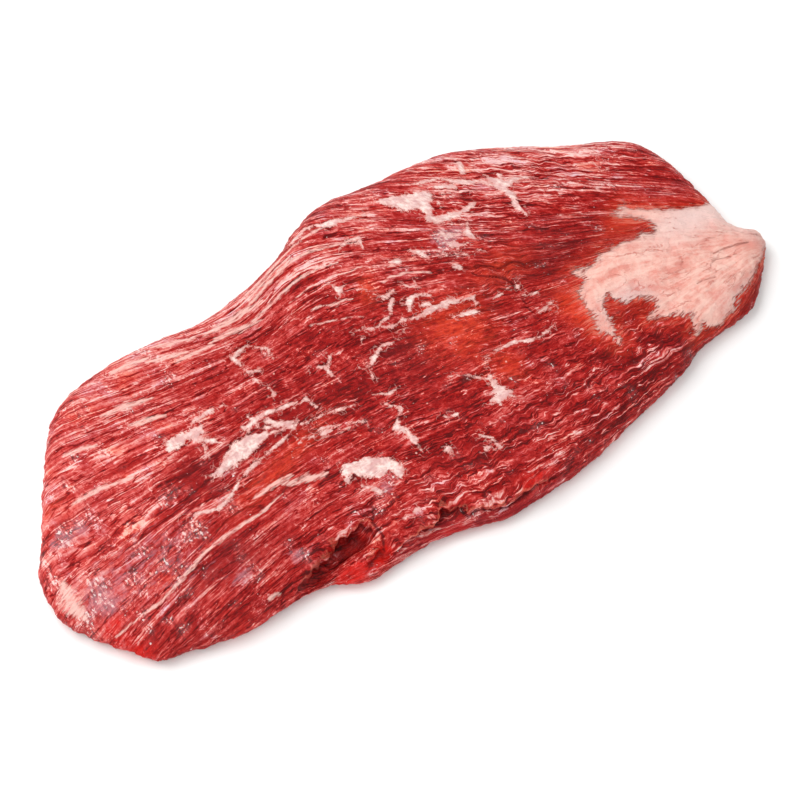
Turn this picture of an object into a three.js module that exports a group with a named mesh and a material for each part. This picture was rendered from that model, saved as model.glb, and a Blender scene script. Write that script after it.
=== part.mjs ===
import * as THREE from "three";

// A raw flank steak lying flat. Millimetres, +X along the meat to its fat-covered tip, +Y to the far side, +Z up,
// with the origin under its middle.

// Driving dimensions
const LENGTH = 398; // along X
const WIDTH = 198; // along Y
const THICKNESS = 19; // lean meat near its middle
const END_THINNING = 4.5; // how much thinner the ends are
const RIM_HEIGHT = 5.5; // widest line round the edge, above the underside
const TOP_ROUND = 13; // reach of the rounding above the widest line
const UNDER_ROUND = 5; // reach of the rounding below it
const SWELL = 1.1; // slow rise and fall of the top face
const BUNDLE = 13; // width of a coarse bundle of fibres
const BUNDLE_RELIEF = 0.95; // height of those bundles
const STRAND = 7; // width of a finer bundle
const STRAND_RELIEF = 0.5; // height of those
const PAD_RISE = 2.2; // fat pad above the lean meat
const PAD_EDGE = 5; // width of the slope round the pad
const FLECK_RISE = 1.3; // small lumps of fat above the lean meat
const CELL_ALONG = 5; // mesh spacing along the meat
const CELL_ACROSS = 3.3; // mesh spacing across it

// Outline seen from above, in four stretches, each from one corner of the mesh up to the next
const LEFT_END = [
  [-172, -67.5], [-182, -55], [-189.5, -44], [-195, -35], [-199, -24], [-197, -3], [-185.5, 15], [-173.5, 34],
  [-162, 51],
];
const FAR_SIDE = [
  [-151, 65], [-139, 73.5], [-124, 76.5], [-105, 78], [-83, 76.5], [-62, 73.5], [-44, 75.5], [-27, 79], [-10, 84],
  [2.5, 90], [14.5, 96], [30, 98.5], [55, 94.5], [97, 90], [126, 74.5], [146, 62], [167, 51], [178.5, 44.5],
];
const RIGHT_END = [[186, 34.5], [190.5, 17], [191, -14], [191.5, -30], [198, -38], [199, -45], [191, -54], [181, -63]];
const NEAR_SIDE = [
  [168, -72], [150, -74], [132, -76], [117, -82], [84, -89], [50, -96], [30, -97.5], [2, -98], [-13, -93.5],
  [-32, -88.5], [-50, -87.5], [-60.5, -88.5], [-71, -88], [-79, -85], [-86, -80], [-102, -77.5], [-132, -78],
  [-158, -71],
];

// Guide fibres: their y at each of the stations along X. They run together towards the tip.
const STATIONS = [-200, -150, -100, -50, 0, 50, 100, 150, 200];
const GUIDE_FIBRES = [
  [-100, -91, -84, -84, -92, -92, -88, -82, -60],
  [-62, -51, -42, -40, -46, -52, -54, -52, -46],
  [-16, -11, -7, -6, -9, -17, -27, -36, -42],
  [42, 33, 26, 23, 19, 5, -10, -25, -38],
  [94, 77, 62, 52, 45, 25, 4, -14, -34],
  [126, 107, 91, 79, 72, 50, 26, 1, -28],
  [160, 140, 122, 110, 103, 84, 58, 27, -10],
  [200, 180, 160, 146, 138, 120, 95, 62, 28],
];

// Fat pad over the tip, seen from above
const FAT_PAD = [
  [148, 10], [157, 1], [172, -8], [184, -13], [196, -12], [206, -38], [198, -52], [184, -57], [170, -65], [152, -74],
  [139, -70], [125, -52], [114, -48], [104, -39], [99, -55], [92, -42], [97, -21], [112, -11], [140, -12], [151, -5],
];

// Lumps of fat: the line that each follows, and its half width
const FAT_LUMPS = [
  { line: [[-114, 21], [-104, 18], [-95, 12]], half: 4.5 },
  { line: [[-108, -4], [-90, 0], [-72, 4], [-60, 9]], half: 4.5 },
  { line: [[-54, -38], [-44, -46], [-33, -55]], half: 8 },
  { line: [[22, -42], [30, -47], [37, -52]], half: 6 },
  { line: [[-15, -30], [-17, -40], [-14, -50]], half: 4.5 },
  { line: [[47, 80], [58, 73], [68, 64], [76, 55], [88, 54]], half: 4.5 },
  { line: [[101, 60], [110, 55], [120, 51]], half: 4 },
  { line: [[-200, -20], [-194, -31]], half: 5 },
];

// The near edge is folded: the upper layer ends short of the lower one. In the first part of its end it is torn
// into a pocket, with a lobe of meat hanging out below, and a crease runs back from the corner between the two.
const UPPER_LAYER_END = [
  [-108, -81], [-96, -75], [-86, -70.5], [-77, -68], [-68, -66.5], [-63, -67], [-60, -71], [-58.5, -79], [-57, -85],
  [-49, -84.5], [-43, -83.5], [-34, -83], [-28, -80], [-22, -81.5], [-16, -88], [-8, -91], [3, -92], [16, -94],
  [30, -99],
];
const LOWER_LAYER_TOP = 9.5;
const LAYER_STEP = 1.2; // width of the slope from one layer to the other
const STEP_PULL = 3.2; // mesh points this near to the end of the layer are drawn to its two sides
const POCKET = { line: [[-97, -77], [-86, -73.5], [-77, -71.5], [-68, -70.5], [-63, -73]], half: 4.5, depth: 3 };
const POCKET_LIP = { line: [[-88, -68], [-77, -65.5], [-66, -64], [-59, -67]], half: 3.5, rise: 1.6 };
const LOBE = { line: [[-80, -81.5], [-70, -82], [-62, -79]], half: 6.5, rise: 4.5 };
const CREASE = { line: [[-52, -58], [-56, -68], [-57.5, -78], [-60, -88]], half: 2.6, depth: 4 };

const smooth = THREE.MathUtils.smoothstep;
const lerp = THREE.MathUtils.lerp;
const NOISE_SEEDS = { swell: 3, bundle: 11, strand: 23, pad: 37 };

function curveThrough(points, closed) {
  const places = points.map(([x, y]) => new THREE.Vector3(x, y, 0));
  return new THREE.CatmullRomCurve3(places, closed, "catmullrom", 0.5);
}

const outlinePoints = [...LEFT_END, ...FAR_SIDE, ...RIGHT_END, ...NEAR_SIDE];
const outlineCurve = curveThrough(outlinePoints, true);
const outline = outlineCurve.getPoints(outlinePoints.length * 8).slice(0, -1);

// One side of the mesh: points on the outline between two of its corners, at the given fractions of that length
function outlineSide(firstIndex, lastIndex, fractions) {
  const steps = (lastIndex - firstIndex) * 16;
  const path = [];
  for (let i = 0; i <= steps; i++) {
    const t = (firstIndex + i / 16) / outlinePoints.length;
    path.push(outlineCurve.getPoint(t % 1));
  }
  const reach = [0];
  for (let i = 1; i < path.length; i++) {
    reach.push(reach[i - 1] + path[i].distanceTo(path[i - 1]));
  }
  return fractions.map((fraction) => {
    const wanted = fraction * reach[steps];
    let i = 1;
    while (i < steps && reach[i] < wanted) i++;
    return path[i - 1].clone().lerp(path[i], (wanted - reach[i - 1]) / (reach[i] - reach[i - 1]));
  });
}

// Fractions along one way of the mesh: rows close together over the rounded edge at both ends, then even cells
function meshFractions(span, cell) {
  const rimRows = 5;
  const rim = [];
  for (let i = 0; i < rimRows; i++) {
    rim.push(TOP_ROUND * (1 - Math.cos((i / rimRows) * (Math.PI / 2))));
  }
  const inner = span - 2 * TOP_ROUND;
  const count = Math.round(inner / cell);
  const middle = [];
  for (let i = 0; i <= count; i++) {
    middle.push(TOP_ROUND + (inner * i) / count);
  }
  const places = [...rim, ...middle, ...rim.map((place) => span - place).reverse()];
  return places.map((place) => place / span);
}

// Smooth noise from -1 to 1, with one random value at each whole step
function latticeValue(i, j, seed) {
  const wave = Math.sin(i * 127.1 + j * 311.7 + seed * 74.7) * 43758.5453;
  return 2 * (wave - Math.floor(wave)) - 1;
}

function noise(x, y, seed) {
  const i = Math.floor(x);
  const j = Math.floor(y);
  const s = smooth(x - i, 0, 1);
  const t = smooth(y - j, 0, 1);
  const low = lerp(latticeValue(i, j, seed), latticeValue(i + 1, j, seed), s);
  const high = lerp(latticeValue(i, j + 1, seed), latticeValue(i + 1, j + 1, seed), s);
  return lerp(low, high, t);
}

// The place on a line of points that is nearest to x, y, and its distance
function nearestOnLine(x, y, line) {
  let nearest = { distance: Infinity };
  for (let i = 1; i < line.length; i++) {
    const [x0, y0] = line[i - 1];
    const dx = line[i][0] - x0;
    const dy = line[i][1] - y0;
    const t = THREE.MathUtils.clamp(((x - x0) * dx + (y - y0) * dy) / (dx * dx + dy * dy), 0, 1);
    const distance = Math.hypot(x - x0 - t * dx, y - y0 - t * dy);
    if (distance < nearest.distance) nearest = { distance, x: x0 + t * dx, y: y0 + t * dy };
  }
  return nearest;
}

function distanceToLine(x, y, line) {
  return nearestOnLine(x, y, line).distance;
}

function isInside(x, y, polygon) {
  let inside = false;
  for (let i = 0, j = polygon.length - 1; i < polygon.length; j = i++) {
    const [x0, y0] = polygon[i];
    const [x1, y1] = polygon[j];
    if (y0 > y !== y1 > y && x < x0 + ((y - y0) / (y1 - y0)) * (x1 - x0)) inside = !inside;
  }
  return inside;
}

const outlineRing = outline.map((point) => [point.x, point.y]);
outlineRing.push(outlineRing[0]);
const padRing = [...FAT_PAD, FAT_PAD[0]];

const guideCurves = GUIDE_FIBRES.map((row) => curveThrough(row.map((y, i) => [STATIONS[i], y]), false));
const middleStation = STATIONS.indexOf(0);

// Place across the grain, in millimetres as measured at the middle of the meat
function acrossGrain(x, y) {
  const t = THREE.MathUtils.clamp((x - STATIONS[0]) / (STATIONS.at(-1) - STATIONS[0]), 0, 1);
  const levels = guideCurves.map((curve) => curve.getPoint(t).y);
  let i = 1;
  while (i < levels.length - 1 && y > levels[i]) i++;
  const part = (y - levels[i - 1]) / (levels[i] - levels[i - 1]);
  return lerp(GUIDE_FIBRES[i - 1][middleStation], GUIDE_FIBRES[i][middleStation], part);
}

// A rounded hump along a line: 1 on the line, 0 from its half width outwards
function hump(x, y, line, half) {
  const t = Math.min(1, distanceToLine(x, y, line) / half);
  return (1 - t * t) ** 2;
}

function grainRelief(x, y) {
  const across = acrossGrain(x, y);
  const coarse = noise(x / (6 * BUNDLE), across / BUNDLE, NOISE_SEEDS.bundle);
  const fine = noise(x / (5 * STRAND), across / STRAND, NOISE_SEEDS.strand);
  return BUNDLE_RELIEF * coarse + STRAND_RELIEF * fine;
}

function padCover(x, y) {
  if (!isInside(x, y, FAT_PAD)) return 0;
  return smooth(distanceToLine(x, y, padRing), 0, PAD_EDGE);
}

// Height of the lean meat and its fat away from the rounded edge
function plateau(x, y) {
  const pad = padCover(x, y);
  let z = THICKNESS - END_THINNING * smooth(Math.abs(x), 110, 195);
  z += SWELL * noise(x / 70, y / 45, NOISE_SEEDS.swell);
  z += grainRelief(x, y) * (1 - 0.6 * pad);
  z += pad * (PAD_RISE + 0.7 * noise(x / 16, y / 9, NOISE_SEEDS.pad));
  for (const lump of FAT_LUMPS) {
    z += FLECK_RISE * hump(x, y, lump.line, lump.half);
  }
  return z;
}

// How far a place lies past the end of the upper layer, towards the near edge
function pastUpperLayer(x, y) {
  const first = UPPER_LAYER_END[0];
  const last = UPPER_LAYER_END.at(-1);
  if (x <= first[0] || x >= last[0]) return -Infinity;
  let i = 1;
  while (UPPER_LAYER_END[i][0] < x) i++;
  const [x0, y0] = UPPER_LAYER_END[i - 1];
  const [x1, y1] = UPPER_LAYER_END[i];
  const end = lerp(y0, y1, (x - x0) / (x1 - x0));
  return Math.sign(end - y) * distanceToLine(x, y, UPPER_LAYER_END);
}

// Mesh points close to the end of the upper layer move to its two sides, so that the step is clean
function drawnToStep(x, y) {
  const past = Math.abs(pastUpperLayer(x, y));
  if (past > STEP_PULL || past < 0.05) return [x, y];
  const end = nearestOnLine(x, y, UPPER_LAYER_END);
  const wanted = lerp(LAYER_STEP / 2, STEP_PULL, (past / STEP_PULL) ** 2);
  return [lerp(end.x, x, wanted / past), lerp(end.y, y, wanted / past)];
}

function topHeight(x, y) {
  const inset = distanceToLine(x, y, outlineRing);
  let level = plateau(x, y);
  level = lerp(level, LOWER_LAYER_TOP, smooth(pastUpperLayer(x, y), -LAYER_STEP / 2, LAYER_STEP / 2));
  level += LOBE.rise * hump(x, y, LOBE.line, LOBE.half);
  level += POCKET_LIP.rise * hump(x, y, POCKET_LIP.line, POCKET_LIP.half);
  level -= POCKET.depth * hump(x, y, POCKET.line, POCKET.half);
  level -= CREASE.depth * hump(x, y, CREASE.line, CREASE.half);
  const t = Math.min(1, inset / TOP_ROUND);
  const dome = Math.sqrt(1 - (1 - t) ** 2);
  return RIM_HEIGHT + Math.max(0.5, level - RIM_HEIGHT) * dome;
}

// The top face: a patch of rows and columns spread between the four sides of the outline
function topGrid() {
  const corners = [0, LEFT_END.length, LEFT_END.length + FAR_SIDE.length];
  corners.push(corners[2] + RIGHT_END.length, outlinePoints.length);
  const along = meshFractions(0.87 * LENGTH, CELL_ALONG);
  const across = meshFractions(0.87 * WIDTH, CELL_ACROSS);
  const left = outlineSide(corners[0], corners[1], across);
  const far = outlineSide(corners[1], corners[2], along);
  const right = outlineSide(corners[2], corners[3], across).reverse();
  const near = outlineSide(corners[3], corners[4], along).reverse();
  const rows = across.map((v, j) =>
    along.map((u, i) => {
      const ruled = ["x", "y"].map((axis) => {
        const sides = lerp(near[i][axis], far[i][axis], v) + lerp(left[j][axis], right[j][axis], u);
        const low = lerp(near[0][axis], near.at(-1)[axis], u);
        const high = lerp(far[0][axis], far.at(-1)[axis], u);
        return sides - lerp(low, high, v);
      });
      const onEdge = i === 0 || j === 0 || i === along.length - 1 || j === across.length - 1;
      if (onEdge) return [...ruled, RIM_HEIGHT];
      const place = drawnToStep(...ruled);
      return [...place, topHeight(...place)];
    }),
  );
  return rows;
}

// The underside: rings from the widest line down and inwards to the flat face
function undersideRing(rim, inset, z) {
  const count = rim.length;
  return rim.map(([x, y], k) => {
    const [x0, y0] = rim[(k + count - 3) % count];
    const [x1, y1] = rim[(k + 3) % count];
    const length = Math.hypot(x1 - x0, y1 - y0);
    return [x - (inset * (y1 - y0)) / length, y + (inset * (x1 - x0)) / length, z];
  });
}

function steakGeometry() {
  const rows = topGrid();
  const columns = rows[0].length;
  const places = rows.flat();
  const faces = [];
  const at = (i, j) => j * columns + i;
  for (let j = 0; j < rows.length - 1; j++) {
    for (let i = 0; i < columns - 1; i++) {
      const corners = [at(i, j), at(i + 1, j), at(i + 1, j + 1), at(i, j + 1)];
      const turned = i < columns / 2 !== j < rows.length / 2;
      const [a, b, c, d] = turned ? [corners[1], corners[2], corners[3], corners[0]] : corners;
      faces.push([a, b, c], [a, c, d]);
    }
  }

  // The rim, anticlockwise from above
  const rim = [];
  for (let i = 0; i < columns - 1; i++) rim.push(at(i, 0));
  for (let j = 0; j < rows.length - 1; j++) rim.push(at(columns - 1, j));
  for (let i = columns - 1; i > 0; i--) rim.push(at(i, rows.length - 1));
  for (let j = rows.length - 1; j > 0; j--) rim.push(at(0, j));
  const rimPlaces = rim.map((k) => places[k]);
  let upper = rim;
  let flat = rimPlaces;
  for (const angle of [30, 60, 90]) {
    const turn = THREE.MathUtils.degToRad(angle);
    flat = undersideRing(rimPlaces, UNDER_ROUND * (1 - Math.cos(turn)), RIM_HEIGHT * (1 - Math.sin(turn)));
    const lower = flat.map((_, k) => places.length + k);
    places.push(...flat);
    upper.forEach((a, k) => {
      const next = (k + 1) % upper.length;
      faces.push([upper[next], a, lower[k]], [upper[next], lower[k], lower[next]]);
    });
    upper = lower;
  }

  // The flat face: a ladder from each long side to a spine along the middle, and a fan at each end of the spine
  const nearEnd = columns - 1;
  const farStart = nearEnd + rows.length - 1;
  const spine = [];
  for (let i = 0; i < columns; i++) {
    const near = places[upper[i]];
    const far = places[upper[farStart + nearEnd - i]];
    spine.push(places.length);
    places.push([(near[0] + far[0]) / 2, (near[1] + far[1]) / 2, 0]);
  }
  for (let i = 0; i < nearEnd; i++) {
    const far = farStart + nearEnd - i;
    faces.push([upper[i + 1], upper[i], spine[i]], [upper[i + 1], spine[i], spine[i + 1]]);
    faces.push([spine[i + 1], spine[i], upper[far % upper.length]]);
    faces.push([spine[i + 1], upper[far % upper.length], upper[far - 1]]);
  }
  for (let j = 0; j < rows.length - 1; j++) {
    const left = farStart + nearEnd + j;
    faces.push([upper[nearEnd + j + 1], upper[nearEnd + j], spine[nearEnd]]);
    faces.push([upper[(left + 1) % upper.length], upper[left], spine[0]]);
  }

  // Drawn to the driving length and width, with the middle of its box on the origin
  const box = new THREE.Box2().setFromPoints(places.map(([x, y]) => new THREE.Vector2(x, y)));
  const middle = box.getCenter(new THREE.Vector2());
  const size = box.getSize(new THREE.Vector2());
  const scaled = places.map(([x, y, z]) => [
    ((x - middle.x) * LENGTH) / size.x,
    ((y - middle.y) * WIDTH) / size.y,
    z,
  ]);
  const geometry = new THREE.BufferGeometry();
  geometry.setAttribute("position", new THREE.Float32BufferAttribute(scaled.flat(), 3));
  geometry.setIndex(faces.flat());
  geometry.computeVertexNormals();
  return geometry;
}

const rawBeef = new THREE.MeshStandardMaterial({ color: 0xa52a2c, roughness: 0.4, metalness: 0 });
const steak = new THREE.Mesh(steakGeometry(), rawBeef);
steak.name = "flank_steak";

const model = new THREE.Group();
model.add(steak);
export default model;
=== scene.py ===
import math

import bmesh
import bpy
import numpy as np
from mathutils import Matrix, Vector


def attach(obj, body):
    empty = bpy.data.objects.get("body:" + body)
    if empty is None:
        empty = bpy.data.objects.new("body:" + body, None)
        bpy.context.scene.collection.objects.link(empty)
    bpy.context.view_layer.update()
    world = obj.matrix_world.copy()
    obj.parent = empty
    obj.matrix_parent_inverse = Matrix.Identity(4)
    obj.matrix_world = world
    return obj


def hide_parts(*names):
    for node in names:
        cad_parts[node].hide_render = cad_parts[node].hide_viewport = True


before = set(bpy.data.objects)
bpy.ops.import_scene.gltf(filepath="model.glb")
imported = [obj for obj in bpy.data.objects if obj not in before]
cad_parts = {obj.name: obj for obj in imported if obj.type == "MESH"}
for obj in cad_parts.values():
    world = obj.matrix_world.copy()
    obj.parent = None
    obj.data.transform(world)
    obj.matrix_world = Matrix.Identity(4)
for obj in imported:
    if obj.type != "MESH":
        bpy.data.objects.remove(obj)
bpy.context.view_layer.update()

# A raw flank steak lying flat. Sizes are in millimetres, meshes in metres, and +X runs to the tip under fat.
MM = 0.001

# The solid's rounding, which the grain follows down its sides
RIM_HEIGHT = 5.5
TOP_ROUND = 13
UNDER_ROUND = 5
SIDE_RADIUS = 12.5
UNDERSIDE_TOP = 0.3
UNDERSIDE_SHIFT = 300

# Heights of the relief, set on its Geometry Nodes
RELIEF = {"Bundle height": 0.85, "Lump height": 5.0, "Fleck height": 0.5, "Lip height": 1.5}

# Guide fibres: their y at each of the stations along X. They run together towards the tip.
STATION_STEP = 50
FIRST_STATION = -200
GUIDE_FIBRES = np.array([
    [-100, -91, -84, -84, -92, -92, -88, -82, -60],
    [-62, -51, -42, -40, -46, -52, -54, -52, -46],
    [-16, -11, -7, -6, -9, -17, -27, -36, -42],
    [42, 33, 26, 23, 22, 8, -9, -25, -38],
    [94, 77, 62, 53, 60, 38, 9, -13, -34],
    [126, 107, 91, 80, 93, 68, 33, 3, -28],
    [160, 140, 122, 112, 125, 101, 66, 29, -10],
    [200, 180, 160, 148, 160, 136, 100, 64, 28],
], float)

# Fat pad over the tip, seen from above, and the place at the tip where its fibres meet
PAD_TIP = (204, -50, 0)
FAT_PAD = [
    (168, -8), (180, -13), (190, -13), (205, -14), (212, -38), (206, -50), (196, -52), (188, -57),
    (178, -61), (171, -64), (162, -68), (156, -73), (145, -75), (139, -72), (131, -74), (133, -68),
    (135, -64), (127, -60), (116, -54), (124, -51), (124, -46), (120, -44), (110, -40), (108, -33),
    (104, -35), (101, -42), (99, -51), (96, -58), (95, -50), (92, -45), (95, -38), (96, -32), (97, -24),
    (104, -19), (104, -11), (112, -14), (120, -11), (132, -12), (144, -13), (152, -15), (152, -9), (149, -3),
    (140, 5), (150, 8), (154, 2),
]

# Slits in the pad and the lean: chains of places, each with the half width there
SLITS = [
    [(61.8, 17, 0.2), (63.8, 13.5, 0.4), (66.1, 11.8, 0.4), (69.4, 9, 0.5), (72.7, 6.2, 0.6), (74, 3.2, 0.5),
     (74.8, -0.6, 0.4), (74, -5, 0.3)],
    [(65, 18, 0.2), (68.5, 17.6, 0.4), (72, 15, 0.4), (74.6, 11.3, 0.4), (79.7, 11, 0.4), (83, 10.7, 0.5),
     (85.5, 8, 0.4), (86, 4, 0.2)],
    [(73.6, -9.4, 0.2), (72.3, -14.8, 0.5), (72.6, -19, 0.2)],
    [(150, 5.5, 0.2), (153, 3.2, 0.5), (164, -2.6, 0.6), (174, -8.9, 0.6), (184, -12.6, 0.4)],
    [(148, -52.4, 0.3), (151, -52.3, 0.4), (153.8, -52.8, 0.4), (158.8, -53.9, 0.2)],
    [(160.9, -46.8, 0.2), (164, -45, 0.3), (167.8, -44.8, 0.3), (172.8, -47.8, 0.2)],
    [(167, -41.4, 0.1), (174, -42, 0.2), (180, -44, 0.3), (187, -45, 0.2)],
]

# Broad flecks of white fat, as outlines seen from above
FLECK_SHAPES = [
    [(-113, 18.5), (-107, 19.5), (-100, 20), (-92, 18.5), (-95, 14.5), (-99, 12.5), (-105, 14), (-110, 13.5),
     (-114, 15)],
    [(-109, -7), (-96, -4), (-90, 1), (-80, 2), (-70, -1), (-66, -4), (-72, -5), (-82, -8), (-95, -10),
     (-107, -9)],
    [(-52, -36), (-45, -40), (-39, -41), (-33, -46), (-29, -53), (-30, -58), (-34, -60), (-36, -53),
     (-41, -54), (-47, -50), (-51, -44), (-55, -47), (-56, -41)],
    [(46, 80), (56, 77), (64, 73), (72, 70), (74, 66), (68, 63), (66, 58), (70, 51), (65, 51), (62, 57),
     (63, 62), (56, 66), (49, 74)],
    [(28, -53), (37, -52), (36, -46), (33, -40), (29, -47), (22, -48)],
]

# Narrow flecks: chains of places, each with the half width there
FLECK_LINES = [
    # left of the middle
    [(-98, 11, 1.4), (-94, 8, 1.1), (-91, 5, 0.7)],
    [(-98, 21.5, 0.8), (-88, 22.5, 1.2), (-80, 22, 0.7)],
    [(-70, -3, 1.5), (-64, -5, 1.2), (-52, -8, 0.9), (-40, -10, 0.8), (-28, -14, 0.5)],
    [(-78, 4.5, 1.6), (-70, 7, 1.3), (-62, 6, 1.4), (-55, 5, 1.1), (-50, 3.5, 0.7)],
    [(-74, 3, 0.8), (-69, 0, 1.8), (-62, -2.5, 1.6), (-55, -5.5, 1)],
    [(-100, 12, 1), (-99, 7, 0.8), (-101, 4, 0.5)],
    [(-49, 2, 0.9), (-45, 3, 1), (-44, -3, 0.9)],
    [(-73, 11, 0.6), (-72, 3, 0.6)],
    [(-67, 3, 1.4), (-64, -2, 1.8)],
    [(-79, 7, 0.8), (-78, 3, 1)],
    [(-62, -16, 0.8), (-54, -17, 1.2), (-46, -19, 0.8)],
    [(-129, -19, 0.5), (-120, -21.6, 1), (-112, -24.8, 1.1), (-104, -22.2, 1.2), (-94.5, -16.6, 1),
     (-83.5, -13.5, 0.8), (-69, -10.7, 0.7), (-56, -7, 0.5)],
    [(-62, 43, 0.9), (-60, 31, 0.9), (-54, 28, 0.6)],
    [(-61, 42, 0.8), (-52, 44, 0.9), (-45, 36, 0.8), (-46, 30, 0.7)],
    [(-60, 26, 0.5), (-57, 20, 0.5), (-56, 14, 0.8), (-58, 13, 0.6)],
    [(-34, 16, 0.8), (-28, 13, 1), (-27, 6, 0.7)],
    [(-22, 17, 0.7), (-27, 12, 0.8)],
    [(-62, -14, 0.5), (-47, -16, 0.6), (-38, -20, 0.5), (-29, -24, 0.5)],
    [(-4, 16, 1), (-3.5, 16.5, 1)],
    # the middle
    [(18, 10, 0.4), (14, 8, 0.7), (8, 6.5, 0.5), (5, 6, 1.2), (2, 7.5, 0.7), (-2, 5.7, 1.6), (-5.5, 4, 1.3),
     (-8, 1, 0.7), (-9.5, -1, 0.4)],
    [(9.5, 40.7, 0.4), (13.4, 39.7, 0.5), (15.3, 36.6, 0.5), (15.2, 34, 0.9), (16.8, 31.4, 0.5),
     (18.2, 29.6, 1.2), (20, 29.3, 1.2), (24.8, 30, 0.7)],
    [(21, 26, 0.8), (17.8, 23.3, 1.2), (15.6, 19.3, 0.7), (13.3, 18.8, 0.8), (9.4, 18.3, 0.7),
     (6.3, 17.7, 0.5)],
    [(-14.4, 3.2, 0.5), (-13.3, 0.9, 0.6)],
    [(36.2, 28.6, 0.8), (34.6, 26.4, 1.2), (33, 26.5, 0.8)],
    [(29.3, 31.2, 0.4), (31.6, 29, 0.5), (33, 26.5, 0.8), (36.3, 23.6, 0.5)],
    [(24.2, 23.8, 0.5), (28, 21.8, 0.8), (31.8, 21.8, 1)],
    [(33, 21, 0.8), (37.3, 17.7, 1.1)],
    [(29, 15, 0.6), (34, 13.5, 1.3)],
    [(-10, 1, 0.8), (-12, -5, 1.1)],
    [(-18, -13, 0.7), (-12, -18, 1), (-5, -17, 0.7)],
    [(-42, -21, 1), (-38, -23, 0.8)],
    [(-35, -21, 0.7), (-29, -25, 0.9)],
    [(-16, -22, 0.8), (-12, -28, 1.1), (-16, -32, 0.9), (-20, -36, 1.4), (-17, -41, 2.2), (-17, -49, 1.2),
     (-17, -54, 0.6)],
    [(-5, 21.7, 0.4), (2.3, 18.4, 0.7), (6.7, 16.9, 0.6), (13, 13.3, 0.8), (17.6, 13, 0.6), (21.4, 12, 0.8),
     (27, 10.5, 1.2), (35, 10, 1.7), (45, 8.5, 2), (54, 5, 1.4), (54, 1, 0.7)],
    [(40, 1, 1), (46, -1, 2), (52, -3, 1)],
    [(31.8, 21.8, 1.2), (28, 21.6, 1.4), (25.2, 18, 1.6), (24.2, 16, 1.2), (21.3, 15.3, 0.6),
     (17, 13.5, 0.5)],
    [(33, 45, 1.2), (36, 43, 1.8)],
    [(45, 45, 1), (48, 40, 1.6), (50, 37, 1)],
    [(-1.8, 52, 0.5), (1.4, 51.3, 0.5), (2.2, 48, 0.9), (3, 45.7, 1.5), (1.5, 43.5, 1)],
    [(7, 46.3, 0.5), (3.5, 46.5, 0.8)],
    [(64, 46, 0.8), (66, 40, 1.6), (65, 32, 1.1)],
    [(79, 44, 0.7), (74, 37, 1.8), (75, 32, 1)],
    [(57, 25, 1.2), (59, 22, 1.4)],
    [(68, 39.2, 0.6), (70.7, 39.5, 0.8)],
    [(66.8, 33.3, 0.8), (70.8, 32.1, 0.9)],
    [(56.6, 36, 0.6), (58, 32.9, 0.8)],
    [(65.2, 28.6, 0.5), (67, 25.1, 0.6)],
    [(71.5, 26.4, 0.5), (75, 24.6, 0.6)],
    # round the big fleck near the far side, and the star to its right
    [(70, 66, 2.4), (66, 61, 2.6), (64, 56, 2.4), (68, 52, 2.2), (76, 49.5, 2), (82, 49.5, 1.4),
     (88, 50, 0.8)],
    [(74, 62, 0.9), (72, 58, 1.1)],
    [(69, 77, 0.8), (81, 73, 1.2), (89, 65, 1.4), (98, 60, 1.3), (101, 55, 1.2)],
    [(77, 69, 1.4), (84, 66, 1.7), (87, 61, 1)],
    [(77, 64.5, 0.7), (86, 60, 0.8), (92, 56, 0.6)],
    [(102, 62, 0.9), (104, 56, 1.7), (105, 50, 2.7), (106, 43, 2.1), (104, 38, 1.3), (105, 30, 0.8)],
    [(108, 58, 1.1), (106, 52, 2.2)],
    [(119, 48, 1), (112, 51, 1.9), (106, 50, 2.4)],
    [(96, 75, 1.2), (94, 69, 1.6)],
    [(153, 38, 1), (154, 34, 0.9), (157, 31, 0.6)],
    [(144, 23, 1), (146, 23, 1)],
    [(-1, 84, 1), (10, 86, 1.3), (20, 81, 1.6), (30, 78, 1.5), (38, 75, 0.8)],
    [(17, 66, 0.9), (22, 68, 1), (28, 66, 1), (27, 60, 0.7)],
    # towards the near side
    [(-51, -52, 1.1), (-46, -58, 1.3), (-46, -61, 0.9)],
    [(34, -41, 1.2), (33, -40, 0.7), (25, -31, 0.6), (16, -26, 0.5)],
    [(0, -42, 0.8), (4, -45, 1.1), (8, -46, 0.7)],
    [(-7, -59, 1.6), (-6, -59, 1.6)],
    [(10, -61, 0.8), (14, -66, 1), (14, -72, 0.8)],
    [(9, -69, 1.2), (6, -71, 1)],
    [(34, -40, 0.6), (34, -33, 0.7), (38, -28, 0.8), (42, -27, 0.6)],
    [(44, -27, 0.8), (55, -28, 1.2), (61, -31, 1.1), (68, -33, 0.9), (75, -31, 0.6)],
    [(75, -21, 0.6), (83, -20, 0.9), (84, -24, 0.6)],
    [(-44, -77, 1), (-36, -77, 1)],
    # white specks in the middle, and beside the rippled patch
    [(63.6, 45, 0.6), (67, 41.4, 0.9)],
    [(60.7, 42.6, 0.5), (63.3, 37.5, 1), (62.8, 31.9, 1), (62.3, 30, 0.5)],
    [(61.9, -1.2, 0.3), (67, -1.5, 0.6), (72.5, 0, 0.4)],
    [(76.5, 1.2, 0.4), (75.6, -3.8, 0.5)],
    [(74.7, -8, 0.3), (81.6, -10.7, 0.6)],
]

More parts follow.
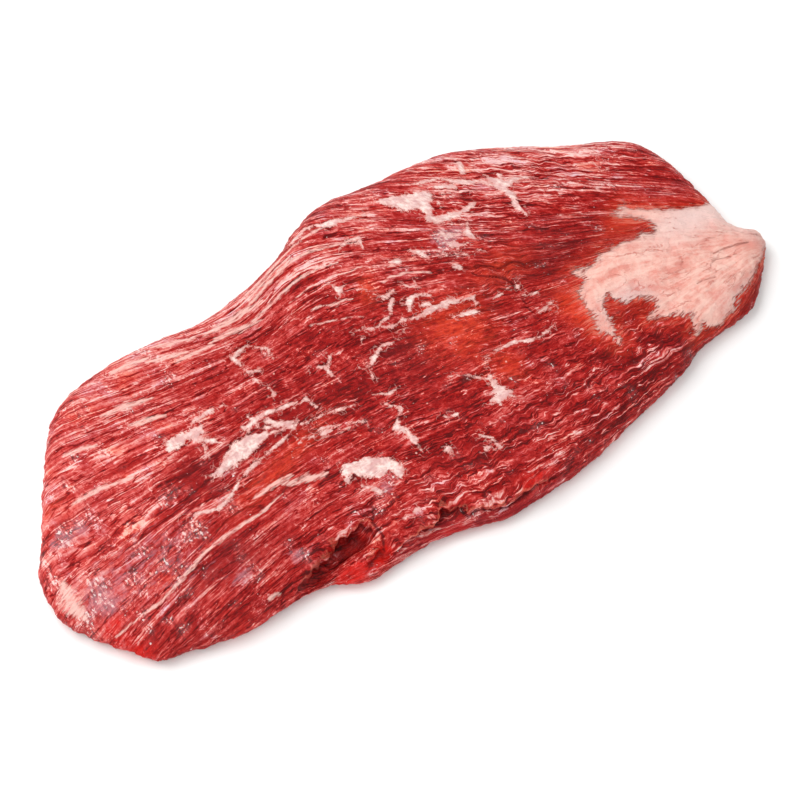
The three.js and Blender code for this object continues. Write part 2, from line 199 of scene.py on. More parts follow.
# Soft pale streaks along the grain: chains of places, each with the half width there
PALE_STREAKS = [
    [(-114, 68, 1), (-105, 67, 2), (-95, 65, 0.8)],
    [(-97, 63, 0.8), (-88, 60, 1.8), (-78, 57, 0.8)],
    [(-90, 70, 0.8), (-82, 66, 1.6), (-70, 62, 0.8)],
    [(-140, 75, 0.8), (-134, 74, 1.5), (-128, 72, 0.8)],
    [(-130, 50, 0.8), (-118, 48, 2), (-105, 45, 0.8)],
    [(-155, 43, 0.8), (-148, 41, 1.5), (-140, 38, 0.8)],
    [(-122, 38, 0.8), (-114, 36, 1.8), (-105, 33, 0.8)],
    [(-165, 18, 0.8), (-150, 17, 1.3), (-135, 13, 0.8)],
    [(-95, -29, 0.8), (-85, -28, 1.5), (-74, -28, 0.8)],
    [(-80, -30, 0.8), (-70, -34, 2.5), (-60, -37, 0.8)],
    [(-185, -50, 0.5), (-160, -49, 0.8), (-145, -45, 0.8), (-130, -40, 0.9), (-115, -38, 0.8),
     (-95, -37, 0.8), (-83, -34, 0.5)],
    [(-117, -75, 1), (-112, -75, 1)],
    [(-45, 60, 0.6), (-24, 69, 1), (-8, 73.6, 1), (4.5, 73, 0.8), (20.5, 67.7, 0.6), (28, 62, 0.4)],
    [(-51, 51, 0.5), (-32, 57, 0.8), (-12, 62.6, 0.9), (1, 63, 0.7), (12, 60, 0.5)],
    [(-66, 60.5, 0.6), (-59.6, 60.5, 1.6), (-49.7, 60.7, 1.8), (-40, 61.1, 1.6), (-31, 62.1, 0.7)],
    [(-66, 54.8, 0.6), (-61.5, 54.8, 1.2), (-53.5, 54.8, 1.4), (-47, 53.2, 1.2), (-37.7, 52.3, 0.6)],
    [(-86, 55, 0.5), (-81.5, 54.8, 1.1), (-72.3, 54, 1.2), (-64.6, 52.7, 0.5)],
    [(-38, 69, 0.6), (-27, 73, 1), (-10, 79, 0.9), (0.6, 81.6, 0.8), (16, 81, 0.6), (33, 77, 0.4)],
    [(-42, 65.7, 0.5), (-30, 69.2, 0.8), (-19, 73.5, 0.8), (-5, 77, 0.5)],
    [(-21, 53, 0.4), (-8, 55.6, 0.5), (-0.6, 54.4, 0.4), (5.9, 54.6, 0.6), (12.8, 52, 0.6),
     (18.6, 51.3, 0.5), (28.6, 44.6, 0.4), (33.4, 42.3, 0.8)],
    [(22.8, 36.9, 0.5), (27.7, 37.4, 0.8), (36.2, 35, 0.8), (41.7, 31.2, 0.6), (45.4, 28.8, 0.8)],
    [(-15.6, 43.4, 0.5), (-9.6, 43.1, 0.7), (-4.5, 40, 1), (2.5, 39, 0.7), (5.4, 37.4, 0.4)],
    [(-20.3, 36.4, 0.5), (-13, 34, 0.6), (-6.2, 30.8, 0.5), (0.8, 28, 0.5), (4.6, 24.9, 0.3)],
    [(-190, -14, 1.5), (-192, -21, 4.5), (-192, -28, 4.5), (-190, -34, 1.5)],
]

# The near edge. The upper layer lies on the left of each lip's line, and a smoother one below it. The pocket,
# the crease and the lobe that hangs out are chains of places again, each with the half width there.
EDGE_LIPS = [
    [(-106, -80), (-96, -75.5), (-86, -71), (-77, -68.6), (-68, -67), (-62, -67.4), (-59, -71),
     (-57.5, -78)],
    [(-58, -87), (-49, -85.5), (-42, -85), (-34, -84.6), (-28, -81.4), (-24, -81.6), (-20, -84.4),
     (-16, -89), (-8, -92), (3, -94), (14, -96), (30, -97)],
    [(-74, -86), (-66, -82), (-61, -81.5), (-58, -86)],
]
POCKETS = [[(-100, -77.5, 3.5), (-88, -73.5, 4.5), (-77, -71.5, 4.5), (-68, -70.5, 4.5), (-63, -73, 3)]]
CREASES = [[(-51, -60, 0.5), (-53, -64, 0.8), (-57, -70, 1), (-57, -78, 1), (-59, -82, 0.6)]]
LOBES = [[(-84, -82, 3), (-74, -84, 5), (-64, -83, 5), (-57, -83, 3)]]
LIP_TAPER = 6
LOBE_TOP = 12
LOWER_LAYER_TOP = 10.5
LOWER_LAYER_BACK = -70
LOWER_LAYER_ENDS = (-62, 45)

# Zones of the look, as soft round patches: height, middle, reach along and across, and turn in degrees
ZONES = {
    "streaky": [(1, -160, 20, 75, 75), (1, -60, 78, 90, 24), (0.6, -110, -45, 60, 25)],
    "light": [
        (0.19, -135, 55, 75, 40), (0.08, -190, -5, 40, 60), (0.05, -40, 78, 70, 18),
        (0.05, -110, -35, 70, 22), (0.05, 110, 72, 70, 25), (0.1, -190, -30, 14, 22), (0.08, 38, -5, 16, 18),
        (0.09, 20, 60, 40, 20), (0.04, 60, 60, 60, 25), (0.02, -150, -45, 50, 30), (-0.04, 100, 50, 80, 50),
        (-0.05, 0, -10, 60, 30), (-0.32, 105, -72, 60, 20), (-0.14, 62, 62, 26, 13), (0.12, 77, -66, 30, 16),
        (0.08, 100, 25, 26, 14), (0.09, 31, -66, 20, 12), (0.07, 160, 21, 22, 14), (0.07, -34, 46, 18, 10),
        (0.05, -76, -59, 16, 12), (0.12, -56, 62, 20, 10), (-0.09, 2, 57, 20, 12), (-0.08, -143, 53, 18, 16),
        (-0.24, 0, -74, 20, 15),
    ],
    "orange": [
        (1, 37, -5, 16, 18), (0.8, 44, -38, 8, 8), (0.75, 76, 11, 15, 9), (0.9, 186, -47, 15, 4, -40),
        (0.8, 14, 38, 9, 5, 60), (1, 90, -28, 7, 14), (0.9, 142, -2, 14, 4), (0.7, -75, -21, 30, 6, 17),
        (0.5, -176, 24, 8, 6),
    ],
    "dark": [
        (1, -100, -8, 18, 6, 20), (0.8, -112, 3, 14, 8), (1, 8, -4, 14, 16), (0.7, 100, 5, 35, 8),
        (0.6, -70, -2, 40, 10), (1, -122, -50, 26, 11), (0.8, 112, -42, 14, 9), (0.5, 175, -68, 25, 6),
        (0.8, 206, -62, 12, 18),
    ],
    "misty": [
        (1, -175, 5, 12, 8), (1, -180, -32, 8, 9), (1, -122, -60, 6, 4), (1, -95, -65, 7, 4),
        (1, -43, -59, 6, 4), (1.6, 65, 41, 10, 6), (0.7, -150, -30, 40, 25),
    ],
    "threads": [
        (1.2, 100, 66, 80, 34), (0.5, -40, 70, 60, 22), (0.3, 105, -66, 60, 22), (0.3, -130, 20, 60, 60),
        (0.6, -5, -74, 55, 14), (0.6, -20, -92, 90, 12), (0.65, 156, 32, 40, 28), (-0.5, 62, 62, 24, 14),
        (-0.5, 0, -74, 20, 15),
    ],
    "wavy": [(1, 95, -60, 55, 24), (1, 76, 12, 16, 10), (1, -5, -72, 60, 16), (0.8, 125, 52, 60, 28)],
    "smooth": [(1, 172, -17, 26, 12), (0.7, 195, -30, 12, 16)],
    "rippled": [(3, 76, 9, 15, 12)],
}
RED_SIDES = [
    (1.2, -163, -84, 24, 9, -10), (1.2, -182, -60, 16, 8, -50), (1.2, -135, -84, 20, 7),
    (1.2, -193, 22, 6, 12), (0.96, -180, -44, 7, 4), (0.96, -28, -92, 14, 6), (0.84, -108, -86, 14, 6),
    (0.84, 20, -93, 16, 5),
]
RIPPLE_START = 70.5
RIPPLE_PACE = 2.1

# What the mesh stores at each of its points: vector attributes, and the three fields that each one holds
FIELDS = {
    "fat": ("pale", "pad", "smooth"),
    "tone": ("light", "orange", "dark"),
    "film": ("misty", "threads", "wavy"),
    "fleck": ("fleck", "fleck width", "slits"),
    "fold": ("beside lip", "lip", "hollow"),
    "skin": ("vivid", "below", "streaky"),
}
NO_COVER = -4.0
FAR = 20.0

# Lean colours, from the painted shade of dark crevices to creamy threads
LEAN_SHADES = (
    (0.0, "#5a0304"), (0.12, "#7c0406"), (0.25, "#930d0e"), (0.38, "#a81c18"), (0.5, "#bd3431"),
    (0.62, "#d25752"), (0.76, "#e38e87"), (0.92, "#f4c8c2"),
)


def linear(colour):
    """An sRGB hex colour as linear RGBA."""
    channels = [int(colour[i:i + 2], 16) / 255 for i in (1, 3, 5)]
    channels = [c / 12.92 if c <= 0.04045 else ((c + 0.055) / 1.055) ** 2.4 for c in channels]
    return (*channels, 1.0)


def add_node(tree, kind, inputs=None, **settings):
    """Adds a node. Its kind is its type, which may leave out ShaderNode at the start. An input is a value, a
    socket, or a node that stands for its first output in use."""
    node = tree.nodes.new(kind if "Node" in kind else "ShaderNode" + kind)
    for name, value in settings.items():
        setattr(node, name, value)
    for key, value in (inputs or {}).items():
        if isinstance(value, bpy.types.Node):
            value = next(socket for socket in value.outputs if socket.enabled)
        if isinstance(value, bpy.types.NodeSocket):
            tree.links.new(value, node.inputs[key])
        else:
            node.inputs[key].default_value = value
    return node


# Distances and fields over the steak, in millimetres

def nearest_on_line(places, line):
    """For each place: its distance to a line of points, the segment there, and how far along that segment."""
    line = np.asarray(line, float)[:, :2]
    best = np.full(len(places), np.inf)
    segment = np.zeros(len(places), int)
    part = np.zeros(len(places))
    for i in range(len(line) - 1):
        step = line[i + 1] - line[i]
        t = np.clip((places - line[i]) @ step / (step @ step), 0, 1)
        distance = np.linalg.norm(places - line[i] - t[:, None] * step, axis=1)
        nearer = distance < best
        best[nearer] = distance[nearer]
        segment[nearer] = i
        part[nearer] = t[nearer]
    return best, segment, part


def inside_depth(places, outline):
    """How deep each place lies inside an outline, below zero outside it."""
    distance = nearest_on_line(places, outline + outline[:1])[0]
    inside = np.zeros(len(places), bool)
    x, y = places.T
    for (x0, y0), (x1, y1) in zip(outline, outline[1:] + outline[:1]):
        inside ^= ((y0 > y) != (y1 > y)) & (x < x0 + (y - y0) / (y1 - y0 + 1e-12) * (x1 - x0))
    return np.where(inside, distance, -distance)


def along_strokes(places, strokes):
    """For each stroke in turn: how far each place lies from its line, and the stroke's half width there."""
    for stroke in strokes:
        halves = np.array([half for _, _, half in stroke])
        distance, segment, part = nearest_on_line(places, stroke)
        yield distance, halves[segment] * (1 - part) + halves[segment + 1] * part


def stroke_cover(places, strokes):
    """How well strokes cover each place: 1 on a stroke's line, 0 at its half width, below zero outside."""
    cover = np.full(len(places), NO_COVER)
    for distance, half in along_strokes(places, strokes):
        cover = np.maximum(cover, 1 - distance / half)
    return cover


def stroke_depth(places, strokes):
    """How deep each place lies inside the nearest stroke, below zero outside it, and its half width."""
    depth = np.full(len(places), -FAR)
    widest = np.zeros(len(places))
    for distance, half in along_strokes(places, strokes):
        nearer = half - distance > depth
        depth[nearer] = (half - distance)[nearer]
        widest[nearer] = half[nearer]
    return depth, widest


def beside_line(places, line):
    """How far each place lies to the left of a line, below zero to its right, and how well it is reached."""
    line = np.asarray(line, float)
    distance, segment, part = nearest_on_line(places, line)
    steps = line[1:] - line[:-1]
    lengths = np.linalg.norm(steps, axis=1)
    off = places - line[segment] - part[:, None] * steps[segment]
    turn = steps[segment, 0] * off[:, 1] - steps[segment, 1] * off[:, 0]
    along = np.concatenate([[0], np.cumsum(lengths)])[segment] + part * lengths[segment]
    reach = np.clip(np.minimum(along, lengths.sum() - along) / LIP_TAPER, 0, 1)
    return distance * np.sign(turn), reach


def across_grain(x, y):
    """Place across the grain, in millimetres as measured at the middle of the meat."""
    rows = np.pad(GUIDE_FIBRES, ((0, 0), (1, 1)), "reflect", reflect_type="odd")
    t = np.clip((x - FIRST_STATION) / STATION_STEP, 0, GUIDE_FIBRES.shape[1] - 1 - 1e-6)
    i = t.astype(int)
    t = t - i
    a, b, c, d = (rows[:, i + k] for k in range(4))
    levels = b + 0.5 * t * (c - a + t * (2 * a - 5 * b + 4 * c - d + t * (3 * (b - c) + d - a)))
    middle = GUIDE_FIBRES[:, GUIDE_FIBRES.shape[1] // 2]
    across = np.zeros(len(x))
    for k in range(len(levels) - 1):
        part = (y - levels[k]) / (levels[k + 1] - levels[k])
        here = (part >= 0) | (k == 0)
        across[here] = (middle[k] + part * (middle[k + 1] - middle[k]))[here]
    return across


def spots(places, rows):
    """The sum of soft round patches, each of which fades out over its reach."""
    total = np.zeros(len(places))
    for height, x, y, reach_x, reach_y, *turn in rows:
        angle = math.radians(sum(turn))
        dx, dy = (places - (x, y)).T
        along = (dx * math.cos(angle) + dy * math.sin(angle)) / reach_x
        across = (dy * math.cos(angle) - dx * math.sin(angle)) / reach_y
        total += height * np.exp(-(along**2 + across**2))
    return total


# The meat's own mesh

def add_object(name, data):
    thing = bpy.data.objects.new(name, data)
    bpy.context.scene.collection.objects.link(thing)
    return thing


def baked(piece):
    """Replaces a piece by the plain mesh that its modifiers give."""
    bpy.context.view_layer.update()
    shown = piece.evaluated_get(bpy.context.evaluated_depsgraph_get())
    mesh = bpy.data.meshes.new_from_object(shown)
    piece.modifiers.clear()
    piece.data = mesh
    return piece


def start_tree(name, inputs):
    """A Geometry Nodes tree with named inputs, and the outputs of its group input."""
    tree = bpy.data.node_groups.new(name, "GeometryNodeTree")
    for key, kind in inputs.items():
        tree.interface.new_socket(key, in_out="INPUT", socket_type=kind)
    tree.interface.new_socket("Geometry", in_out="OUTPUT", socket_type="NodeSocketGeometry")
    return tree, add_node(tree, "NodeGroupInput").outputs


def grown(piece, tree, values):
    """Gives a piece the plain mesh that a tree makes of it, with the tree's named inputs set."""
    modifier = piece.modifiers.new(tree.name, "NODES")
    modifier.node_group = tree
    for socket in tree.interface.items_tree:
        if socket.name in values:
            modifier[socket.identifier] = values[socket.name]
    return baked(piece)


def steak_blank():
    """A copy of the solid, merged, in quads and subdivided twice, and the line round its widest part."""
    bm = bmesh.new()
    bm.from_mesh(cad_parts["flank_steak"].data)
    bmesh.ops.remove_doubles(bm, verts=bm.verts, dist=0.01 * MM)
    any_angle = {"angle_face_threshold": math.pi, "angle_shape_threshold": math.pi}
    bmesh.ops.join_triangles(bm, faces=bm.faces, topology_influence=1.0, **any_angle)
    bm.verts.index_update()
    places = [vertex.co.copy() for vertex in bm.verts]
    faces = [[vertex.index for vertex in face.verts] for face in bm.faces]
    bm.free()
    mesh = bpy.data.meshes.new("steak")
    mesh.from_pydata(places, [], faces)
    rim = np.array([place[:2] for place in places if abs(place.z / MM - RIM_HEIGHT) < 0.01]) / MM
    rim = rim[np.argsort(np.arctan2(rim[:, 1], rim[:, 0]))]
    piece = add_object("steak", mesh)
    rounding = piece.modifiers.new("rounding", "SUBSURF")
    rounding.levels = rounding.render_levels = 2
    return baked(piece), rim


def spread_out(places, rim):
    """Where each place would lie if the sides were rolled out flat round the top face, in millimetres."""
    ring = np.vstack([rim, rim[:1]])
    outward = np.roll(rim, -2, axis=0) - np.roll(rim, 2, axis=0)
    outward = np.stack([outward[:, 1], -outward[:, 0]], axis=1)
    outward /= np.linalg.norm(outward, axis=1)[:, None]
    outward = np.vstack([outward, outward[:1]])
    inset, segment, part = nearest_on_line(places[:, :2], ring)
    direction = outward[segment] * (1 - part)[:, None] + outward[segment + 1] * part[:, None]
    lean = np.arccos(np.clip(1 - inset / TOP_ROUND, 0, 1))
    rolled = SIDE_RADIUS * (math.pi / 2 - lean)
    below = np.arcsin(np.clip(1 - places[:, 2] / RIM_HEIGHT, 0, 1))
    under = places[:, 2] < RIM_HEIGHT
    rolled = np.where(under, SIDE_RADIUS * math.pi / 2 + UNDER_ROUND * below, rolled)
    extra = rolled - TOP_ROUND + inset
    extra[(inset > TOP_ROUND) & ~under] = 0
    spread = places[:, :2] + direction * extra[:, None]
    flat = places[:, 2] < UNDERSIDE_TOP
    spread[flat] = places[flat, :2]
    return spread, flat


def store(mesh, name, columns):
    """Stores three columns of numbers as a vector at each point of a mesh."""
    attribute = mesh.attributes.new(name, "FLOAT_VECTOR", "POINT")
    attribute.data.foreach_set("vector", np.stack(columns, axis=1).astype(np.float32).ravel())


def edge_fields(places, spread):
    """The folded near edge: its lips, and where it is hollow, bright red, or the smooth layer below them."""
    beside = np.full(len(places), -FAR)
    reach = np.zeros(len(places))
    for lip in EDGE_LIPS:
        distance, reached = beside_line(spread, lip)
        nearer = (reached > 0) & ((np.abs(distance) < np.abs(beside)) | (reach == 0))
        beside[nearer] = distance[nearer]
        reach[nearer] = reached[nearer]
    hollow = np.clip(1.2 * stroke_cover(spread, POCKETS), 0, 0.7)
    hollow = np.maximum(hollow, np.clip(1.5 * stroke_cover(spread, CREASES) + 0.2, 0, 1))

    seen = places[:, :2]
    x, y, z = places.T
    lobe = np.clip(1.5 * stroke_cover(seen, LOBES) + 0.3, 0, 1) * (z < LOBE_TOP)
    vivid = np.clip(np.maximum(lobe, spots(seen, RED_SIDES)), 0, 1)
    below = np.clip((LOWER_LAYER_TOP - z) / 2, 0, 1) * (y < LOWER_LAYER_BACK) * (1 - lobe)
    left, right = LOWER_LAYER_ENDS
    below *= np.clip((x - left) / 8, 0, 1) * np.clip((right - x) / 15, 0, 1)
    return {"beside lip": beside, "lip": reach, "hollow": hollow, "vivid": vivid, "below": below}


def mark_meat(piece, rim):
    """Stores on the mesh where the grain runs, where fat lies, and how each zone looks."""
    mesh = piece.data
    places = np.empty(len(mesh.vertices) * 3)
    mesh.vertices.foreach_get("co", places)
    places = places.reshape(-1, 3) / MM
    spread, flat = spread_out(places, rim)
    fields = {name: spots(spread, rows) for name, rows in ZONES.items()}

    x, y = spread.T
    across = across_grain(x, y) + fields["rippled"] * np.sin((x - RIPPLE_START) / RIPPLE_PACE)
    across[flat] += UNDERSIDE_SHIFT
    store(mesh, "grain", [x, across, np.zeros(len(x))])

    fields["streaky"] = np.clip(fields["streaky"], 0, 1)
    fields["light"] += 0.26 * fields["streaky"]
    fields["threads"] += 0.3 + 0.2 * fields["streaky"]
    for name, most in (("orange", 1), ("dark", 1), ("misty", 1.5), ("threads", 1.5), ("wavy", 1.5)):
        fields[name] = np.clip(fields[name], 0, most)

    fields["pale"] = stroke_cover(spread, PALE_STREAKS)
    fields["pad"] = np.clip(inside_depth(spread, FAT_PAD), -FAR, FAR)
    depth, half = stroke_depth(spread, FLECK_LINES)
    for outline in FLECK_SHAPES:
        inside = inside_depth(spread, outline)
        half[inside > depth] = 4
        depth = np.maximum(depth, inside)
    fields["fleck"] = depth
    fields["fleck width"] = half
    fields["slits"] = stroke_depth(spread, SLITS)[0]
    fields.update(edge_fields(places, spread))

    bare = {"pale": NO_COVER, "pad": -FAR, "fleck": -FAR, "lip": 0, "hollow": 0, "vivid": 0, "below": 0}
    for name, value in bare.items():
        fields[name][flat] = value
    for name, parts in FIELDS.items():
        store(mesh, name, [fields[part] for part in parts])


# Pattern of the meat, shared by the relief and the colours

def stored(tree, name):
    """A vector that the mesh stores, read in a material or in Geometry Nodes."""
    if tree.type == "SHADER":
        return add_node(tree, "Attribute", attribute_name=name).outputs["Vector"]
    return add_node(tree, "GeometryNodeInputNamedAttribute", {"Name": name}, data_type="FLOAT_VECTOR")


def read_fields(tree, names=FIELDS):
    """The fields that the mesh stores, each by its own name."""
    fields = {}
    for name in names:
        fields.update(zip(FIELDS[name], add_node(tree, "SeparateXYZ", {0: stored(tree, name)}).outputs))
    return fields


def grain_noise(tree, lines, length, width, detail=2.0, roughness=0.5):
    """Noise drawn out along the grain, with the given length and width in millimetres."""
    place = add_node(tree, "VectorMath", {0: lines, 1: (1 / length, 1 / width, 1)}, operation="MULTIPLY")
    look = {"Vector": place, "Scale": 1.0, "Detail": detail, "Roughness": roughness}
    return add_node(tree, "TexNoise", look)


def plus_shares(tree, total, *parts):
    """The total of several parts, each times its share, added to the one given."""
    for part, share in parts:
        total = add_node(tree, "Math", {0: part, 1: share, 2: total}, operation="MULTIPLY_ADD")
    return total


def contour(tree, value, level, width):
    """Thin lines where a noise crosses a level."""
    off = add_node(tree, "Math", {0: value, 1: level}, operation="SUBTRACT")
    off = add_node(tree, "Math", {0: off}, operation="ABSOLUTE")
    ends = {"Value": off, "From Min": width, "From Max": 0.0}
    return add_node(tree, "MapRange", ends, interpolation_type="SMOOTHSTEP")


def ragged(tree, part, share, rest, low, high, most=1.0, least=0.0):
    """A mask that grows from least to most as the rest, with a share of the part, rises from low to high."""
    level = add_node(tree, "Math", {0: part, 1: share, 2: rest}, operation="MULTIPLY_ADD")
    ends = {"Value": level, "From Min": low, "From Max": high, "To Min": least, "To Max": most}
    return add_node(tree, "MapRange", ends)


def meat_pattern(tree, grain, wavy):
    """Bundles, strands, fibres and clots that follow the grain. The grain is in millimetres."""
    swing = add_node(tree, "MapRange", {"Value": wavy, "To Min": 1.0, "To Max": 8.0})
    bends = []
    for length, width, amount in ((5.5, 10, swing), (45, 28, 5.0)):
        bend = grain_noise(tree, grain, length, width, 1.0)
        bend = add_node(tree, "Math", {0: bend, 1: 0.5}, operation="SUBTRACT")
        bends.append((bend, amount))
    across = add_node(tree, "CombineXYZ", {"Y": plus_shares(tree, 0.0, *bends)})
    lines = add_node(tree, "VectorMath", {0: grain, 1: across}, operation="ADD")
    return {
        "lines": lines,
        "bundles": grain_noise(tree, lines, 70, 6, 1.0),
        "strands": grain_noise(tree, lines, 75, 2.5, 1.0),
        "fibres": grain_noise(tree, lines, 20, 0.95, 2.0, 0.6),
        "clots": grain_noise(tree, lines, 3.6, 2.6, 4.0, 0.7),
    }


def fleck_edge(tree, lines, fields):
    """How deep a place lies inside the ragged flecks of fat, in millimetres."""
    torn = grain_noise(tree, lines, 3.4, 3.4, 5.0, 0.85)
    torn = plus_shares(tree, -0.81, (torn, 1.0), (grain_noise(tree, lines, 9, 6), 0.6))
    ends = {"Value": fields["fleck width"], "From Min": 0.5, "From Max": 3.0, "To Min": 5.0, "To Max": 10.0}
    reach = add_node(tree, "MapRange", ends)
    return add_node(tree, "Math", {0: torn, 1: reach, 2: fields["fleck"]}, operation="MULTIPLY_ADD")


def lip_profile(tree, grain, fields):
    """The raised lip and the groove under it, each from 0 to 1, along a ragged line."""
    torn = grain_noise(tree, grain, 7, 7, 3.0)
    torn = add_node(tree, "Math", {0: torn, 1: 0.5}, operation="SUBTRACT")
    side = add_node(tree, "Math", {0: torn, 1: 8.0, 2: fields["beside lip"]}, operation="MULTIPLY_ADD")
    lip = fields["lip"]
    for low, high in ((-0.5, 0.5), (4.5, 0.8)):
        ends = {"Value": side, "From Min": low, "From Max": high}
        slope = add_node(tree, "MapRange", ends, interpolation_type="SMOOTHSTEP")
        lip = add_node(tree, "Math", {0: lip, 1: slope}, operation="MULTIPLY")
    groove = contour(tree, side, -1.0, 1.1)
    groove = add_node(tree, "Math", {0: groove, 1: fields["lip"]}, operation="MULTIPLY")
    return lip, groove


def fan_out(tree, place):
    """Coordinates of the pad's fibres in millimetres: how far from the tip, and which way."""
    arm = add_node(tree, "VectorMath", {0: place, 1: PAD_TIP}, operation="SUBTRACT")
    arm = add_node(tree, "VectorMath", {0: arm, 1: (-1, 1, 0)}, operation="MULTIPLY")
    ends = add_node(tree, "SeparateXYZ", {0: arm}).outputs
    turn = add_node(tree, "Math", {0: ends[1], 1: ends[0]}, operation="ARCTAN2")
    turn = add_node(tree, "Math", {0: turn, 1: 45.0}, operation="MULTIPLY")
    length = add_node(tree, "VectorMath", {0: arm}, operation="LENGTH")
    return add_node(tree, "CombineXYZ", {"X": length.outputs["Value"], "Y": turn})


def relief_tree():
    """Geometry Nodes that raise the bundles, flecks, lips and the pad's lumps from the smooth form."""
    inputs = {"Geometry": "NodeSocketGeometry", **dict.fromkeys(RELIEF, "NodeSocketFloat")}
    tree, given = start_tree("meat relief", {**inputs, "Finish": "NodeSocketMaterial"})
    grain = stored(tree, "grain")
    fields = read_fields(tree, ("fat", "film", "fleck", "fold"))
    pattern = meat_pattern(tree, grain, fields["wavy"])
    parts = (pattern["bundles"], 2.2), (pattern["strands"], 1.6), (pattern["clots"], 1.0)
    height = plus_shares(tree, -2.4, *parts)
    height = add_node(tree, "Math", {0: height, 1: given["Bundle height"]}, operation="MULTIPLY")

    # Flecks stand a little above the lean, lips more so, and the sides are lumpy
    fleck = fleck_edge(tree, pattern["lines"], fields)
    fleck = add_node(tree, "MapRange", {"Value": fleck, "From Min": -0.4, "From Max": 0.8})
    lip, groove = lip_profile(tree, grain, fields)
    slits = add_node(tree, "MapRange", {"Value": fields["slits"], "From Min": -1.2, "From Max": 0.5})
    normal = add_node(tree, "GeometryNodeInputNormal")
    facing = add_node(tree, "SeparateXYZ", {0: normal}).outputs[2]
    side = add_node(tree, "MapRange", {"Value": facing, "From Min": 0.85, "From Max": 0.3})
    rough = grain_noise(tree, grain, 6, 6, 3.0, 0.6)
    rough = add_node(tree, "Math", {0: rough, 1: 0.5}, operation="SUBTRACT")
    rough = add_node(tree, "Math", {0: rough, 1: side}, operation="MULTIPLY")
    raised = (fleck, given["Fleck height"]), (lip, given["Lip height"]), (rough, 3.0)
    sunken = (groove, -1.6), (fields["hollow"], -1.3), (slits, -0.9)
    height = plus_shares(tree, height, *raised, *sunken)

    # The pad has soft lumps, and creases that run to the tip
    place = add_node(tree, "GeometryNodeInputPosition")
    place = add_node(tree, "VectorMath", {0: place, "Scale": 1 / MM}, operation="SCALE")
    lumps = add_node(tree, "TexNoise", {"Vector": place, "Scale": 1 / 12, "Detail": 4.0, "Roughness": 0.6})
    ridges = grain_noise(tree, fan_out(tree, place), 40, 5)
    soft = plus_shares(tree, -0.675, (lumps, 1.0), (ridges, 0.35), (slits, -0.12))
    soft = add_node(tree, "Math", {0: soft, 1: given["Lump height"]}, operation="MULTIPLY")
    on_pad = add_node(tree, "MapRange", {"Value": fields["pad"], "From Min": -2.0, "From Max": 3.0})
    height = add_node(tree, "Mix", {0: on_pad, 2: height, 3: soft}, data_type="FLOAT")

    # Only what is clear of the flat underside moves
    offset = add_node(tree, "VectorMath", {0: normal, "Scale": height}, operation="SCALE")
    offset = add_node(tree, "VectorMath", {0: offset, "Scale": MM}, operation="SCALE")
    level = add_node(tree, "SeparateXYZ", {0: place}).outputs[2]
    clear = add_node(tree, "FunctionNodeCompare", {0: level, 1: 0.5}, operation="GREATER_THAN")
    moved = {"Geometry": given["Geometry"], "Selection": clear, "Offset": offset}
    moved = add_node(tree, "GeometryNodeSetPosition", moved)
    real = add_node(tree, "GeometryNodeRealizeInstances", {"Geometry": moved})
    finished = add_node(tree, "GeometryNodeSetMaterial", {"Geometry": real, "Material": given["Finish"]})
    add_node(tree, "NodeGroupOutput", {"Geometry": finished})
    return tree


# Finishes

def add_shared_noises(tree, grain, pattern, fields):
    """Adds to the pattern the noises that several layers of the finish share."""
    lines = pattern["lines"]
    pattern["torn"] = grain_noise(tree, lines, 5.5, 3, 5.0, 0.72)
    pattern["frayed"] = grain_noise(tree, lines, 5, 1.2, 3.0, 0.65)
    pattern["wrinkle"] = grain_noise(tree, lines, 1.3, 3.2, 3.0)
    pattern["crumbs"] = grain_noise(tree, grain, 1.8, 1.8, 4.0, 0.7)
    for name in ("frayed", "wrinkle", "crumbs"):
        pattern[name] = add_node(tree, "Math", {0: pattern[name], 1: 0.5}, operation="SUBTRACT")
    some = grain_noise(tree, grain, 14, 14, 3.0)
    pattern["some"] = add_node(tree, "MapRange", {"Value": some, "From Min": 0.48, "From Max": 0.6})
    patch = ragged(tree, fields["misty"], 0.2, grain_noise(tree, grain, 11, 11, 4.0), 0.58, 0.74)
    pattern["patch"] = patch
    pattern["wrinkle"] = add_node(tree, "Math", {0: pattern["wrinkle"], 1: patch}, operation="MULTIPLY")


def with_part(tree, level, part, share, more, streaky):
    """The level with a part added to it, whose share is another one in streaky zones."""
    amount = add_node(tree, "Math", {0: streaky, 1: more, 2: share}, operation="MULTIPLY_ADD")
    return add_node(tree, "Math", {0: part, 1: amount, 2: level}, operation="MULTIPLY_ADD")


